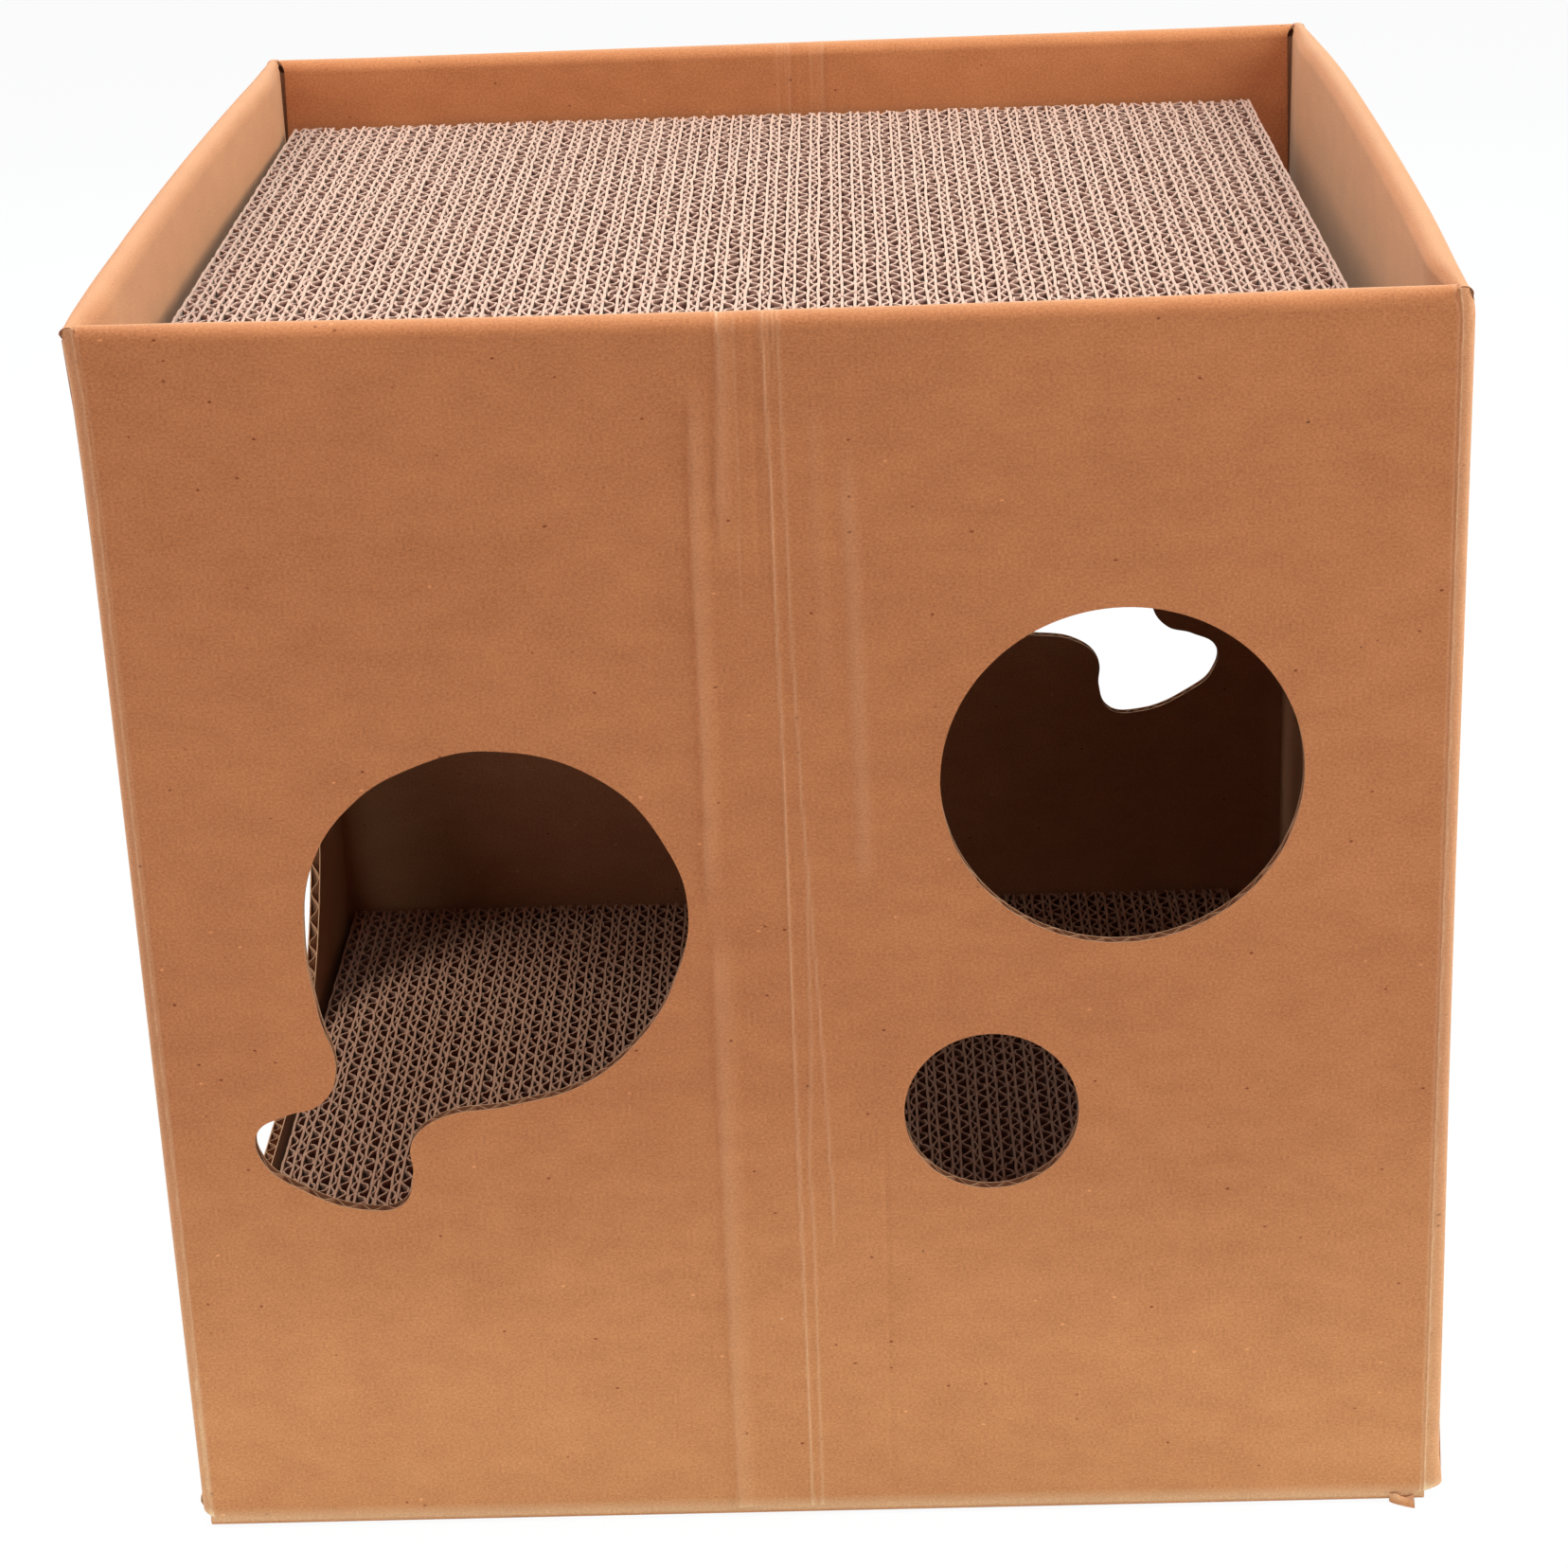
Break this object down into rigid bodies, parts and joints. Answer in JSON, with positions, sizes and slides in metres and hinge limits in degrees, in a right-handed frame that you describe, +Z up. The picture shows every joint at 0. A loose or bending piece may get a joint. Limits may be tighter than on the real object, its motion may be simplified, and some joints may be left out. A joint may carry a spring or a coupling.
{
  "type": "cardboard cat scratcher house",
  "caption": "Square corrugated cardboard cat house with a recessed scratch pad on top, a second pad inside, round and fish-shaped openings and a wide side entrance.",
  "frame": {"origin": "on the floor under the middle of the house", "axes": "+Z up; +Y to the back of the house; +X to the right as seen from the front, so the entrance wall is at -X"},
  "size_m": [0.4, 0.398, 0.403],
  "materials": {
    "kraft_board": "matt brown kraft liner of single-wall corrugated board",
    "scratch_pad_board": "raw cut edges of double-wall corrugated board strips, glued face to face"
  },
  "bodies": {
    "house_shell": {"front_wall": "kraft_board", "back_wall": "kraft_board", "left_wall": "kraft_board", "right_wall": "kraft_board", "corner_glue_tab": "kraft_board", "front_rim_flap": "kraft_board", "right_rim_flap": "kraft_board", "back_rim_flap": "kraft_board", "left_rim_flap": "kraft_board", "front_shelf_flap": "kraft_board", "back_shelf_flap": "kraft_board", "left_bottom_flap": "kraft_board", "right_bottom_flap": "kraft_board"},
    "top_pad": {"top_scratch_pad": "scratch_pad_board"},
    "floor_pad": {"floor_scratch_pad": "scratch_pad_board"},
    "front_outer_flap": {"front_bottom_flap": "kraft_board"},
    "back_outer_flap": {"back_bottom_flap": "kraft_board"},
    "left_shelf": {"left_shelf_flap": "kraft_board"},
    "right_shelf": {"right_shelf_flap": "kraft_board"}
  },
  "joints": [
    {"name": "top_pad_lift", "type": "slide", "parent": "house_shell", "child": "top_pad", "axis": [0, 0, 1], "range_m": [0, 0.075]},
    {"name": "floor_pad_lift", "type": "slide", "parent": "house_shell", "child": "floor_pad", "axis": [0, 0, 1], "range_m": [0, 0.15]},
    {"name": "front_bottom_flap_hinge", "type": "hinge", "parent": "house_shell", "child": "front_outer_flap", "pos_m": [0, -0.197, 0.002], "axis": [-1, 0, 0], "range_deg": [0, 180]},
    {"name": "back_bottom_flap_hinge", "type": "hinge", "parent": "house_shell", "child": "back_outer_flap", "pos_m": [0, 0.197, 0.002], "axis": [1, 0, 0], "range_deg": [0, 180]},
    {"name": "left_shelf_flap_hinge", "type": "hinge", "parent": "house_shell", "child": "left_shelf", "pos_m": [-0.1926, 0, 0.3357], "axis": [0, 1, 0], "range_deg": [0, 90]},
    {"name": "right_shelf_flap_hinge", "type": "hinge", "parent": "house_shell", "child": "right_shelf", "pos_m": [0.1926, 0, 0.3357], "axis": [0, -1, 0], "range_deg": [0, 90]}
  ]
}
